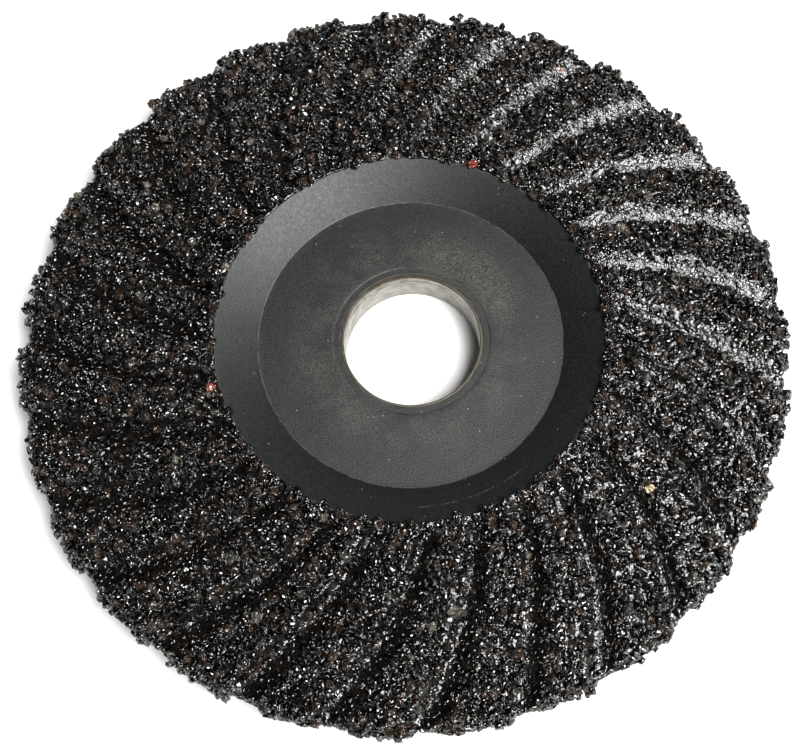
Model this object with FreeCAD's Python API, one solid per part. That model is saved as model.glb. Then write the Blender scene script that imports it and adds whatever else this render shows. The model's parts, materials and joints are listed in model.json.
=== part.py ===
"""Angle grinder disc with a depressed centre, swirled ribs and a coarse abrasive coat.

The disc is built the way it is pressed: a flanged steel ring in the bore, a back
moulding with the hub's seat, two cured glass cloths round a moulded core, a front
moulding with 27 swirled grooves, a bond coat over the ribs, and grains on the coat.

Frame, in millimetres: the origin is the centre of the bore at the hub's back face,
and +Z runs along the bore to the abrasive side.
"""
import FreeCAD
import Part

import math
import os
import random

# Bore ring
BORE_DIAMETER = 22.23
RING_WALL = 0.45
RING_LIP_ROUND = 0.25
RING_FLANGE_WIDTH = 3.4
RING_FLANGE_THICKNESS = 0.5

# Hub
HUB_THICKNESS = 7.5
FRONT_SEAT_RADIUS = 24.8
BACK_SEAT_INSET = 2.8
BOSS_DRAFT_RUN = 0.6
SEAT_STEP_HEIGHT = 0.08
SEAT_STEP_RUN = 0.08
SEAT_RELIEF_WIDTH = 1.25
SEAT_RELIEF_DEPTH = 0.12

# Dished wall between the hub and the working face
DISH_RUN = 6.4
DISH_RISE = 3.9
DISH_BULGE = 0.08

# Working face
DISC_DIAMETER = 125.0
RIM_GRAIN_STANDOUT = 1.45
COAT_THICKNESS = 0.35
FACE_FALL_DEG = 5.0
RIM_BACK_CHAMFER = 0.3
COAT_RIM_MARGIN = 0.4

# Layers of the pressed backing, from the groove floors to the back
FRONT_SKIN = 0.5
CLOTH_THICKNESS = 0.35
CORE_THICKNESS = 0.5
BACK_SKIN = 0.55

# Swirled grooves: places across the pitch are shares of the pitch, from a rib's crest line
RIB_COUNT = 27
CREST_ANGLE_DEG = 270.0
CREST_ANGLE_RADIUS = 47.0
SWIRL_DEG_PER_MM = -0.573
GROOVE_DEPTH = 1.6
GROOVE_ENTRY_DEPTH = 0.15
GROOVE_INNER_MARGIN = 0.6
GROOVE_RUN_IN = 2.4
STEEP_TOP = -0.02
STEEP_FOOT = 0.06
RAMP_FOOT = 0.12
RAMP_TOP = 0.42
COAT_ON_STEEP_WALL = 0.3
TOOL_HEADROOM = 3.0
TOOL_OVERRUN = 2.0
GROOVE_SPANS = 4
FLOOR_CORNER = 2
RAMP_CORNER = 3

# Abrasive grains: reaches from the middle are shares of a grain's size, lifts of its height
GRAIN_SPACING = 2.2
GRAIN_SIZE_MIN = 1.1
GRAIN_SIZE_MAX = 1.5
GRAIN_HEIGHT_MIN = 0.75
GRAIN_HEIGHT_MAX = 1.0
GRAIN_SEAT_GAP = 0.01
GRAIN_EDGE_MARGIN = 0.2
GRAIN_CORNERS = 4
GRAIN_BASE_REACH = (0.30, 0.38)
GRAIN_WAIST_REACH = (0.42, 0.5)
GRAIN_WAIST_LIFT = (0.35, 0.6)
GRAIN_PEAK_REACH = (0.0, 0.15)
GRAIN_SEED = 125
RIM_GRAINS_PER_RIB = 4
RIM_GRAIN_HEIGHT_ON_RIM = 1.5

# Sizes that follow from the ones above
BORE_RADIUS = BORE_DIAMETER / 2
RING_OUTER_RADIUS = BORE_RADIUS + RING_WALL
RING_HEIGHT = HUB_THICKNESS - SEAT_RELIEF_DEPTH
RELIEF_RADIUS = RING_OUTER_RADIUS + SEAT_RELIEF_WIDTH
FLANGE_RADIUS = BORE_RADIUS + RING_WALL + RING_FLANGE_WIDTH
BACK_SEAT_RADIUS = FRONT_SEAT_RADIUS - BACK_SEAT_INSET
SHOULDER_RADIUS = FRONT_SEAT_RADIUS + DISH_RUN
SHOULDER_HEIGHT = HUB_THICKNESS + DISH_RISE
RIM_RADIUS = DISC_DIAMETER / 2 - RIM_GRAIN_STANDOUT
PLATE_RADIUS = RIM_RADIUS - COAT_THICKNESS
FRONT_CLOTH_TOP = GROOVE_DEPTH + FRONT_SKIN
CORE_TOP = FRONT_CLOTH_TOP + CLOTH_THICKNESS
BACK_CLOTH_TOP = CORE_TOP + CORE_THICKNESS
BACK_SKIN_TOP = BACK_CLOTH_TOP + CLOTH_THICKNESS
PLATE_BACK = BACK_SKIN_TOP + BACK_SKIN
RIB_PITCH = 2 * math.pi / RIB_COUNT
GROOVE_START = SHOULDER_RADIUS + GROOVE_INNER_MARGIN
FULL_DEPTH_START = GROOVE_START + GROOVE_RUN_IN
CREST_SHARE = 1 + STEEP_TOP - RAMP_TOP
SPAN_LENGTH = (PLATE_RADIUS + TOOL_OVERRUN - FULL_DEPTH_START) / GROOVE_SPANS
SPAN_RADII = [FULL_DEPTH_START + SPAN_LENGTH * span for span in range(GROOVE_SPANS + 1)]


def point(radius, height):
    """Return a point of the section, which lies in the XZ plane."""
    return FreeCAD.Vector(radius, 0, height)


def crest_height(radius):
    """Return the height of the ribs' crests at a radius of the working face."""
    return SHOULDER_HEIGHT - (radius - SHOULDER_RADIUS) * math.tan(math.radians(FACE_FALL_DEG))


def dish_arc(start, end):
    """Return the dished wall's arc, which bulges up to the front by DISH_BULGE."""
    chord = end - start
    across = FreeCAD.Vector(-chord.z, 0, chord.x).normalize()
    middle = (start + end) / 2 + across * DISH_BULGE
    return Part.Arc(start, middle, end).toShape()


def layer_edges(drop, inner_radius):
    """Return the edges of the layer boundary that lies a drop below the front surface."""
    hub_end = point(FRONT_SEAT_RADIUS, HUB_THICKNESS - drop)
    shoulder = point(SHOULDER_RADIUS, SHOULDER_HEIGHT - drop)
    rim = point(PLATE_RADIUS, crest_height(PLATE_RADIUS) - drop)
    return [
        Part.makeLine(point(inner_radius, HUB_THICKNESS - drop), hub_end),
        dish_arc(hub_end, shoulder),
        Part.makeLine(shoulder, rim),
    ]


def front_edges():
    """Return the front surface's edges: the relief round the ring, the seat, its step and on."""
    relief_floor = point(RELIEF_RADIUS, RING_HEIGHT)
    seat_start = point(RELIEF_RADIUS, HUB_THICKNESS)
    seat_end = point(FRONT_SEAT_RADIUS, HUB_THICKNESS)
    step_top = point(FRONT_SEAT_RADIUS + SEAT_STEP_RUN, HUB_THICKNESS + SEAT_STEP_HEIGHT)
    shoulder = point(SHOULDER_RADIUS, SHOULDER_HEIGHT)
    rim = point(PLATE_RADIUS, crest_height(PLATE_RADIUS))
    return [
        Part.makeLine(point(RING_OUTER_RADIUS, RING_HEIGHT), relief_floor),
        Part.makeLine(relief_floor, seat_start),
        Part.makeLine(seat_start, seat_end),
        Part.makeLine(seat_end, step_top),
        dish_arc(step_top, shoulder),
        Part.makeLine(shoulder, rim),
    ]


def revolve_edges(edges):
    """Return the solid of revolution about Z of a closed section."""
    wire = Part.Wire(Part.__sortEdges__(edges))
    return Part.Face(wire).revolve(FreeCAD.Vector(0, 0, 0), FreeCAD.Vector(0, 0, 1), 360)


def revolve_points(points):
    """Return the solid of revolution about Z of a straight-sided section."""
    return revolve_edges(Part.makePolygon(points + points[:1]).Edges)


def pressed_layer(top_edges, drop_top, drop_bottom):
    """Return one layer between its top edges, from the bore out, and the boundary at drop_bottom."""
    rim_top = point(PLATE_RADIUS, crest_height(PLATE_RADIUS) - drop_top)
    rim_bottom = point(PLATE_RADIUS, crest_height(PLATE_RADIUS) - drop_bottom)
    hub_top = top_edges[0].firstVertex().Point
    hub_bottom = point(RING_OUTER_RADIUS, HUB_THICKNESS - drop_bottom)
    sides = [Part.makeLine(rim_top, rim_bottom), Part.makeLine(hub_top, hub_bottom)]
    return revolve_edges(top_edges + layer_edges(drop_bottom, RING_OUTER_RADIUS) + sides)


def inner_layer(drop_top, thickness):
    """Return a layer of even thickness inside the backing."""
    return pressed_layer(layer_edges(drop_top, RING_OUTER_RADIUS), drop_top, drop_top + thickness)


def make_bore_ring():
    """Return the pressed steel ring: a sleeve, a rounded front lip and a back flange."""
    lip_inner = point(BORE_RADIUS, RING_HEIGHT - RING_LIP_ROUND)
    lip_outer = point(BORE_RADIUS + RING_LIP_ROUND, RING_HEIGHT)
    lip_centre = point(BORE_RADIUS + RING_LIP_ROUND, RING_HEIGHT - RING_LIP_ROUND)
    diagonal = FreeCAD.Vector(-1, 0, 1).normalize() * RING_LIP_ROUND
    outline = [
        lip_outer,
        point(RING_OUTER_RADIUS, RING_HEIGHT),
        point(RING_OUTER_RADIUS, RING_FLANGE_THICKNESS),
        point(FLANGE_RADIUS, RING_FLANGE_THICKNESS),
        point(FLANGE_RADIUS, 0),
        point(BORE_RADIUS, 0),
        lip_inner,
    ]
    lip = Part.Arc(lip_inner, lip_centre + diagonal, lip_outer).toShape()
    return revolve_edges(Part.makePolygon(outline).Edges + [lip])


def make_back_moulding():
    """Return the back layer with the hub's boss, recessed for the ring's flange."""
    rim_height = crest_height(PLATE_RADIUS)
    boss_top = point(BACK_SEAT_RADIUS + BOSS_DRAFT_RUN, HUB_THICKNESS - PLATE_BACK)
    rim_back = point(PLATE_RADIUS, rim_height - PLATE_BACK)
    skin = layer_edges(PLATE_BACK, BACK_SEAT_RADIUS + BOSS_DRAFT_RUN)
    inner = [
        point(RING_OUTER_RADIUS, HUB_THICKNESS - BACK_SKIN_TOP),
        point(RING_OUTER_RADIUS, RING_FLANGE_THICKNESS),
        point(FLANGE_RADIUS, RING_FLANGE_THICKNESS),
        point(FLANGE_RADIUS, 0),
        point(BACK_SEAT_RADIUS, 0),
        boss_top,
    ]
    rim_line = Part.makeLine(rim_back, point(PLATE_RADIUS, rim_height - BACK_SKIN_TOP))
    top = layer_edges(BACK_SKIN_TOP, RING_OUTER_RADIUS)
    blank = revolve_edges(skin + Part.makePolygon(inner).Edges + [rim_line] + top)
    chamfer = revolve_points([
        point(PLATE_RADIUS - RIM_BACK_CHAMFER, rim_back.z - RIM_BACK_CHAMFER),
        point(PLATE_RADIUS + RIM_BACK_CHAMFER, rim_back.z + RIM_BACK_CHAMFER),
        point(PLATE_RADIUS + RIM_BACK_CHAMFER, rim_back.z - RIM_BACK_CHAMFER),
    ])
    lift = FreeCAD.Vector(0, 0, RIM_BACK_CHAMFER / 2)
    return blank.cut(chamfer.translated(lift))


def swirl_angle(radius, rib, phase):
    """Return the angle about Z of a place across a rib's pitch, in radians."""
    swirl = math.radians(CREST_ANGLE_DEG + SWIRL_DEG_PER_MM * (radius - CREST_ANGLE_RADIUS))
    return swirl + (rib + phase) * RIB_PITCH


def groove_corners(radius, rib, depth, coat, wall_coat):
    """Return the corners of the outline across one groove, square to the radius."""
    middle = (STEEP_TOP + RAMP_TOP) / 2
    angle = swirl_angle(radius, rib, middle)
    outward = FreeCAD.Vector(math.cos(angle), math.sin(angle), 0)
    along = FreeCAD.Vector(-math.sin(angle), math.cos(angle), 0)
    crest = crest_height(radius) + coat
    places = [
        (STEEP_TOP, wall_coat, crest + TOOL_HEADROOM),
        (STEEP_TOP, wall_coat, crest),
        (STEEP_FOOT, wall_coat, crest - depth),
        (RAMP_FOOT, 0, crest - depth),
        (RAMP_TOP, 0, crest),
        (RAMP_TOP, 0, crest + TOOL_HEADROOM),
    ]
    corners = []
    for phase, shift, height in places:
        reach = (phase - middle) * RIB_PITCH * radius + shift
        corners.append(outward * radius + along * reach + FreeCAD.Vector(0, 0, height))
    return corners


def groove_tool(rib, coat, wall_coat):
    """Return the solid that one groove takes out, running in from its inner end."""
    outlines = [groove_corners(GROOVE_START, rib, GROOVE_ENTRY_DEPTH, coat, wall_coat)]
    for radius in SPAN_RADII:
        outlines.append(groove_corners(radius, rib, GROOVE_DEPTH, coat, wall_coat))
    return Part.makeLoft([Part.makePolygon(ring + ring[:1]) for ring in outlines], True, True)


def groove_tools(coat, wall_coat):
    """Return the groove solids of all the ribs."""
    return [groove_tool(rib, coat, wall_coat) for rib in range(RIB_COUNT)]


def make_front_moulding():
    """Return the front layer with the nut's seat, the dished wall and the ribs."""
    blank = pressed_layer(front_edges(), 0, FRONT_CLOTH_TOP)
    return blank.cut(groove_tools(0, 0))


def make_bond_coat(front_moulding):
    """Return the bond coat: an even skin over the ribs, the grooves and the rim."""
    outer_height = crest_height(RIM_RADIUS) + COAT_THICKNESS
    hem_height = crest_height(PLATE_RADIUS) - PLATE_BACK + COAT_RIM_MARGIN
    bed_drop = GROOVE_DEPTH + FRONT_SKIN / 2
    blank = revolve_points([
        point(SHOULDER_RADIUS, SHOULDER_HEIGHT - bed_drop),
        point(SHOULDER_RADIUS, SHOULDER_HEIGHT + COAT_THICKNESS),
        point(RIM_RADIUS, outer_height),
        point(RIM_RADIUS, hem_height),
        point(PLATE_RADIUS, hem_height),
        point(PLATE_RADIUS, crest_height(PLATE_RADIUS) - bed_drop),
    ])
    grooved = blank.cut(groove_tools(COAT_THICKNESS, COAT_ON_STEEP_WALL))
    return grooved.cut(front_moulding)


def crest_point(radius, rib, share):
    """Return a point of the coat on a rib's crest, at a share of the way across it."""
    angle = swirl_angle(radius, rib, RAMP_TOP + share * CREST_SHARE)
    height = crest_height(radius) + COAT_THICKNESS
    return FreeCAD.Vector(radius * math.cos(angle), radius * math.sin(angle), height)


def groove_point(radius, rib, corner, share):
    """Return a point of the coat in a groove, a share of the way from one corner to the next."""
    span = min(int((radius - FULL_DEPTH_START) / SPAN_LENGTH), GROOVE_SPANS - 1)
    along = (radius - SPAN_RADII[span]) / SPAN_LENGTH
    ends = []
    for end_radius in SPAN_RADII[span:span + 2]:
        ring = groove_corners(end_radius, rib, GROOVE_DEPTH, COAT_THICKNESS, COAT_ON_STEEP_WALL)
        ends.append(ring[corner] + (ring[corner + 1] - ring[corner]) * share)
    return ends[0] + (ends[1] - ends[0]) * along


def floor_point(radius, rib, share):
    """Return a point of the coat on a groove's floor."""
    return groove_point(radius, rib, FLOOR_CORNER, share)


def ramp_point(radius, rib, share):
    """Return a point of the coat on the slope between a groove's floor and the next rib."""
    return groove_point(radius, rib, RAMP_CORNER, share)


def grain(seat, outward, along, size, height, rng):
    """Return one grain: a flat-based, many-faced lump with a waist and a peak."""
    across = outward.cross(along).normalize()
    turn = rng.uniform(0, math.pi)

    def place(reach, angle, lift):
        """Return a corner of the grain from its own polar place."""
        flat = along * (math.cos(angle) * reach) + across * (math.sin(angle) * reach)
        return seat + flat + outward * lift

    base = []
    waist = []
    quarter = 2 * math.pi / GRAIN_CORNERS
    for corner in range(GRAIN_CORNERS):
        angle = turn + corner * quarter
        base.append(place(size * rng.uniform(*GRAIN_BASE_REACH), angle, 0))
        reach = size * rng.uniform(*GRAIN_WAIST_REACH)
        waist.append(place(reach, angle + quarter / 2, height * rng.uniform(*GRAIN_WAIST_LIFT)))
    peak = place(size * rng.uniform(*GRAIN_PEAK_REACH), rng.uniform(0, 2 * math.pi), height)
    corners = [tuple(reversed(base))]
    for corner in range(GRAIN_CORNERS):
        following = (corner + 1) % GRAIN_CORNERS
        corners.append((base[corner], base[following], waist[corner]))
        corners.append((base[following], waist[following], waist[corner]))
        corners.append((waist[corner], waist[following], peak))
    faces = [Part.Face(Part.makePolygon(list(ring) + [ring[0]])) for ring in corners]
    return Part.makeSolid(Part.makeShell(faces))


def seated_grain(surface, radius, rib, share, rng):
    """Return a grain that stands square on the coat, where surface gives the coat's points."""
    step = 0.01
    seat = surface(radius, rib, share)
    along = (surface(radius, rib, share + step) - seat).normalize()
    radial = (surface(radius + step, rib, share) - seat).normalize()
    outward = radial.cross(along).normalize()
    along = along - outward * along.dot(outward)
    size = rng.uniform(GRAIN_SIZE_MIN, GRAIN_SIZE_MAX)
    height = rng.uniform(GRAIN_HEIGHT_MIN, GRAIN_HEIGHT_MAX)
    return grain(seat + outward * GRAIN_SEAT_GAP, outward, along.normalize(), size, height, rng)


def rim_grain(rib, share, rng):
    """Return a grain that stands out from the rim, on the ribs' side wall."""
    angle = swirl_angle(RIM_RADIUS, rib, RAMP_TOP + share * CREST_SHARE)
    outward = FreeCAD.Vector(math.cos(angle), math.sin(angle), 0)
    along = FreeCAD.Vector(-math.sin(angle), math.cos(angle), 0)
    height = crest_height(RIM_RADIUS) + COAT_THICKNESS - RIM_GRAIN_HEIGHT_ON_RIM / 2
    seat = outward * (RIM_RADIUS + GRAIN_SEAT_GAP) + FreeCAD.Vector(0, 0, height)
    size = min(GRAIN_SIZE_MAX, RIM_GRAIN_HEIGHT_ON_RIM)
    return grain(seat, outward, along, size, RIM_GRAIN_STANDOUT - GRAIN_SEAT_GAP, rng)


def shares_across(width):
    """Return evenly spaced places across a strip of the coat, clear of its edges."""
    margin = GRAIN_SIZE_MAX / 2 + GRAIN_EDGE_MARGIN
    room = width - 2 * margin
    if room < 0:
        return []
    count = 1 + int(room / GRAIN_SPACING)
    if count == 1:
        return [0.5]
    return [(margin + room * place / (count - 1)) / width for place in range(count)]


def make_grains(rib):
    """Return the grains of one rib and the groove beside it, as separate solids."""
    rng = random.Random(GRAIN_SEED + rib)
    strips = [
        (floor_point, RAMP_FOOT - STEEP_FOOT, FULL_DEPTH_START + GRAIN_SIZE_MAX),
        (ramp_point, RAMP_TOP - RAMP_FOOT, FULL_DEPTH_START + GRAIN_SIZE_MAX),
        (crest_point, CREST_SHARE, GROOVE_START + GRAIN_SIZE_MAX / 2),
    ]
    outer = RIM_RADIUS - GRAIN_SIZE_MAX
    solids = []
    for surface, pitch_share, inner in strips:
        rows = int((outer - inner) / GRAIN_SPACING)
        for row in range(rows + 1):
            radius = inner + (outer - inner) * row / rows
            for share in shares_across(pitch_share * RIB_PITCH * radius):
                solids.append(seated_grain(surface, radius, rib, share, rng))
    for place in range(RIM_GRAINS_PER_RIB):
        solids.append(rim_grain(rib, (place + 0.5) / RIM_GRAINS_PER_RIB, rng))
    return Part.makeCompound(solids)


def make_parts():
    """Return every node's shape by its name."""
    front_moulding = make_front_moulding()
    parts = {
        "bore_ring": make_bore_ring(),
        "back_moulding": make_back_moulding(),
        "back_glass_cloth": inner_layer(BACK_CLOTH_TOP, CLOTH_THICKNESS),
        "core_moulding": inner_layer(CORE_TOP, CORE_THICKNESS),
        "front_glass_cloth": inner_layer(FRONT_CLOTH_TOP, CLOTH_THICKNESS),
        "front_moulding": front_moulding,
        "bond_coat": make_bond_coat(front_moulding),
    }
    for rib in range(RIB_COUNT):
        parts["grains_rib_%02d" % (rib + 1)] = make_grains(rib)
    return parts


def main():
    """Write one STEP file per node."""
    os.makedirs("parts", exist_ok=True)
    for name, shape in make_parts().items():
        print(name, len(shape.Solids), "solids", round(shape.Volume, 2), shape.isValid())
        shape.exportStep("parts/%s.step" % name)


if __name__ == "__main__":
    main()
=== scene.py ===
"""Looks of an angle grinder disc with a dished centre and a coarse grit face.

Lengths inside the classes are in millimetres and become metres when a mesh is made. A place on
the disc is given by its radius and angle about the bore and its height along the bore, which
points to the grit side. A section is a list of (radius, height) places that runs outward over
the front, down the rim, inward over the back and up the bore, so turned faces point outward.
"""
import json
import logging
import math
from dataclasses import dataclass, field
from enum import Enum
from typing import Sequence

import bpy
import numpy as np
from mathutils import Matrix, Vector


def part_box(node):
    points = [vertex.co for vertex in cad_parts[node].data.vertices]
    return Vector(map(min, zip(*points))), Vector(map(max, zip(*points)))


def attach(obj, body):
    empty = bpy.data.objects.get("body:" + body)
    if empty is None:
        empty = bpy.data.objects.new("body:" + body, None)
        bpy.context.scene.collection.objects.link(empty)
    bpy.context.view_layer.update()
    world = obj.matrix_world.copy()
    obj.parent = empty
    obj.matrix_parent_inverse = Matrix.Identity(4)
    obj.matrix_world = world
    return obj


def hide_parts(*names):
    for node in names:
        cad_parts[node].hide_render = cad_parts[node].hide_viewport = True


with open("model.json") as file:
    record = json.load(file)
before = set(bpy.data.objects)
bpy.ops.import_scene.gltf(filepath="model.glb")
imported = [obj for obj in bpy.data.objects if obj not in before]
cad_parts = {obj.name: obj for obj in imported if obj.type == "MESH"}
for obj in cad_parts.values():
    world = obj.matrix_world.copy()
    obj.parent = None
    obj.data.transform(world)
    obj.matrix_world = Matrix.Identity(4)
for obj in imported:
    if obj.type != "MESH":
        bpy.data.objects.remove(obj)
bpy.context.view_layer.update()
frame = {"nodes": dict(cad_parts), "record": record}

log = logging.getLogger("carving_disc")

MM = 0.001
BODY = "root"
TINT = "tint"
BARE = "bare"
TURN = 2.0 * math.pi
GOLDEN_ANGLE = math.pi * (3.0 - math.sqrt(5.0))
NO_STOPS = 99.0  # spacing after a corner that puts no place before the next one

Array = np.ndarray
Rng = np.random.Generator
Piece = bpy.types.Object
Material = bpy.types.Material
Socket = bpy.types.NodeSocket
Span = tuple[float, float]
Triple = tuple[float, float, float]
Colour = Triple


class Slot(str, Enum):
    """The material slots that the record names."""

    RING_STEEL = "ring_steel"
    PHENOLIC = "phenolic"
    GLASS_CLOTH = "glass_cloth"
    RESIN = "resin"
    GRIT = "grit"


# ---------------------------------------------------------------------------------------------
# Shapes: helpers that work on whole arrays
# ---------------------------------------------------------------------------------------------


def smooth_step(value: Array, start: float, end: float) -> Array:
    """Return a rise from 0 at start to 1 at end with flat ends: 3t^2 - 2t^3.

    Args:
        value: places at which the rise is wanted.
        start: value at which it leaves 0.
        end: value at which it reaches 1.

    Returns:
        The rise at each place.
    """
    share = np.clip((value - start) / (end - start), 0.0, 1.0)
    return share * share * (3.0 - 2.0 * share)


def wave_field(points: Array, size: float, seed: int, waves: int = 28) -> Array:
    """Return a smooth random field: the scaled sum of plane waves in random directions.

    Args:
        points: places, with x, y and z last.
        size: length of a typical bump, in the unit of the points.
        seed: seed of the waves' directions and phases.
        waves: number of waves in the sum.

    Returns:
        The field at each place, mostly between -2 and 2 with a spread of 1.
    """
    rng = np.random.default_rng(seed)
    directions = rng.normal(size=(3, waves))
    directions /= np.linalg.norm(directions, axis=0)
    numbers = directions * (math.pi / size) * rng.uniform(0.6, 1.5, waves)
    phases = rng.uniform(0.0, TURN, waves)
    return np.cos(points @ numbers + phases).sum(axis=-1) * math.sqrt(2.0 / waves)


def polar_places(radius: Array, angle: Array, height: Array) -> Array:
    """Return x, y, z of polar places: radius times cos and sin of the angle, and the height.

    Args:
        radius: distances from the bore's axis.
        angle: angles about it, in radians.
        height: heights along it.

    Returns:
        The places, with x, y and z last.
    """
    radius, angle, height = np.broadcast_arrays(radius, angle, height)
    return np.stack([radius * np.cos(angle), radius * np.sin(angle), height], axis=-1)


def once_round(count: int) -> Array:
    """Return evenly spaced angles once round the bore, in radians."""
    return np.arange(count) * TURN / count


def unit(vectors: Array) -> Array:
    """Return the vectors at length 1."""
    return vectors / np.linalg.norm(vectors, axis=-1, keepdims=True)


@dataclass(frozen=True)
class Corner:
    """A corner of a section, with how far back its rounding starts and the spacing after it."""

    radius: float
    height: float
    cut: float = 0.0
    spacing: float = 1.0
    steps: int = 4


def rounded_section(corners: Sequence[Corner]) -> Array:
    """Return a closed section through corners, each one rounded by a quadratic curve.

    A rounding leaves the edge before the corner at its cut and joins the edge after it at the
    same cut: (1 - t)^2 A + 2t(1 - t) B + t^2 C. Straight runs between get evenly spaced places.

    Args:
        corners: the section's corners in order.

    Returns:
        An array of (radius, height) places, without the first one repeated.
    """
    places = np.array([(corner.radius, corner.height) for corner in corners])
    pieces = []
    for number, corner in enumerate(corners):
        here = places[number]
        before = here + unit(places[number - 1] - here) * corner.cut
        following = corners[(number + 1) % len(corners)]
        after_place = places[(number + 1) % len(corners)]
        after = here + unit(after_place - here) * corner.cut
        share = np.linspace(0.0, 1.0, corner.steps + 1 if corner.cut else 1)[:, None]
        curve = (1 - share) ** 2 * before + 2 * share * (1 - share) * here + share**2 * after
        pieces.append(curve if corner.cut else here[None, :])
        run_end = after_place + unit(here - after_place) * following.cut
        run = np.linalg.norm(run_end - after)
        count = max(1, math.ceil(run / corner.spacing))
        run_share = np.linspace(0.0, 1.0, count + 1)[1:-1, None]
        pieces.append(after + (run_end - after) * run_share)
    return np.concatenate(pieces)


def ring_quads(rows: int, columns: int, closed_rows: bool) -> Array:
    """Return the quads of a grid that closes round its columns, and over its rows if asked.

    A quad joins (row, column), (row + 1, column), (row + 1, column + 1), (row, column + 1).

    Args:
        rows: number of rows of places.
        columns: number of places in a row.
        closed_rows: whether the last row joins the first.

    Returns:
        An array of four place numbers per quad.
    """
    row = np.arange(rows if closed_rows else rows - 1)[:, None]
    column = np.arange(columns)[None, :]
    next_row = (row + 1) % rows
    next_column = (column + 1) % columns
    sides = [
        row * columns + column,
        next_row * columns + column,
        next_row * columns + next_column,
        row * columns + next_column,
    ]
    return np.stack(sides, axis=-1).reshape(-1, 4)


def new_piece(
    name: str,
    points: Array,
    faces: Sequence[Array],
    smooth: bool | Array = True,
) -> Piece:
    """Make an object at the origin from places in millimetres and arrays of faces.

    Args:
        name: name of the object and of its mesh.
        points: places, one x, y, z per row.
        faces: arrays of place numbers, each array with its own number of corners per face.
        smooth: whether faces are shaded smooth, for all or for each face in order.

    Returns:
        The new object, linked to the scene.
    """
    corners = np.concatenate([array.reshape(-1) for array in faces]).astype(np.int32)
    sizes = np.concatenate([np.full(len(array), array.shape[1]) for array in faces])
    starts = (np.cumsum(sizes) - sizes).astype(np.int32)
    mesh = bpy.data.meshes.new(name)
    mesh.vertices.add(len(points))
    mesh.vertices.foreach_set("co", (points * MM).astype(np.float32).ravel())
    mesh.loops.add(len(corners))
    mesh.loops.foreach_set("vertex_index", corners)
    mesh.polygons.add(len(sizes))
    mesh.polygons.foreach_set("loop_start", starts)
    mesh.polygons.foreach_set("use_smooth", np.broadcast_to(smooth, len(sizes)).copy())
    mesh.update(calc_edges=True)
    piece = bpy.data.objects.new(name, mesh)
    bpy.context.scene.collection.objects.link(piece)
    return piece


# ---------------------------------------------------------------------------------------------
# Finishes
# ---------------------------------------------------------------------------------------------


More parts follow.
